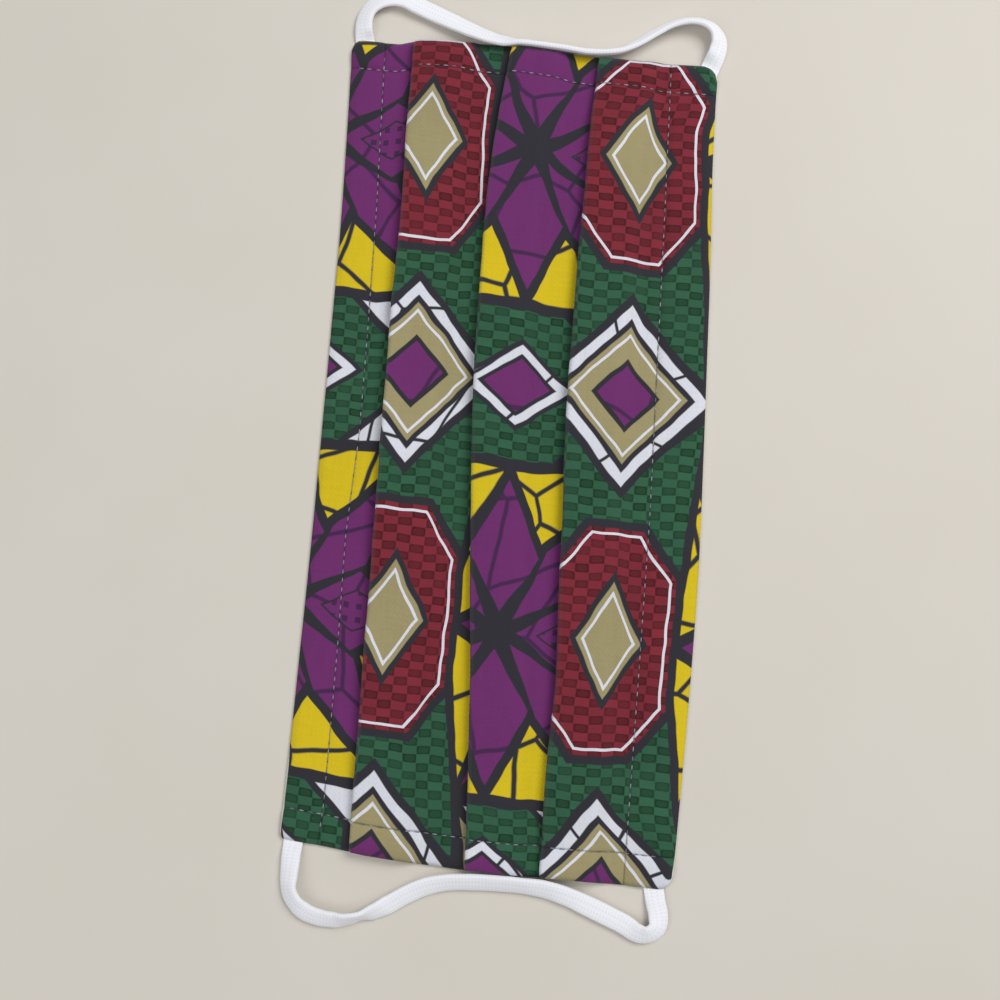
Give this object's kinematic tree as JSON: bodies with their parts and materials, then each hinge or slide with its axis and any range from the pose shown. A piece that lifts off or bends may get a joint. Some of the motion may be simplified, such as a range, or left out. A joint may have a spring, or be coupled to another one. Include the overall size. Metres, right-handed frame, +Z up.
{
  "type": "pleated cloth face mask",
  "caption": "Flat-lying cloth face mask: pleated cotton panel with rounded corners and a flat elastic ear loop at each short end.",
  "frame": {"origin": "under the middle of the panel, on the surface it lies on", "axes": "+X along the panel's length, +Y towards the nose edge, +Z up out of the printed side"},
  "size_m": [0.237, 0.0973, 0.0048],
  "materials": {
    "printed_cotton": "plain-weave cotton with a geometric print",
    "white_elastic": "soft flat knitted elastic"
  },
  "bodies": {
    "root": {"pleated_panel": "printed_cotton", "ear_loop_left": "white_elastic", "ear_loop_right": "white_elastic"}
  },
  "joints": []
}
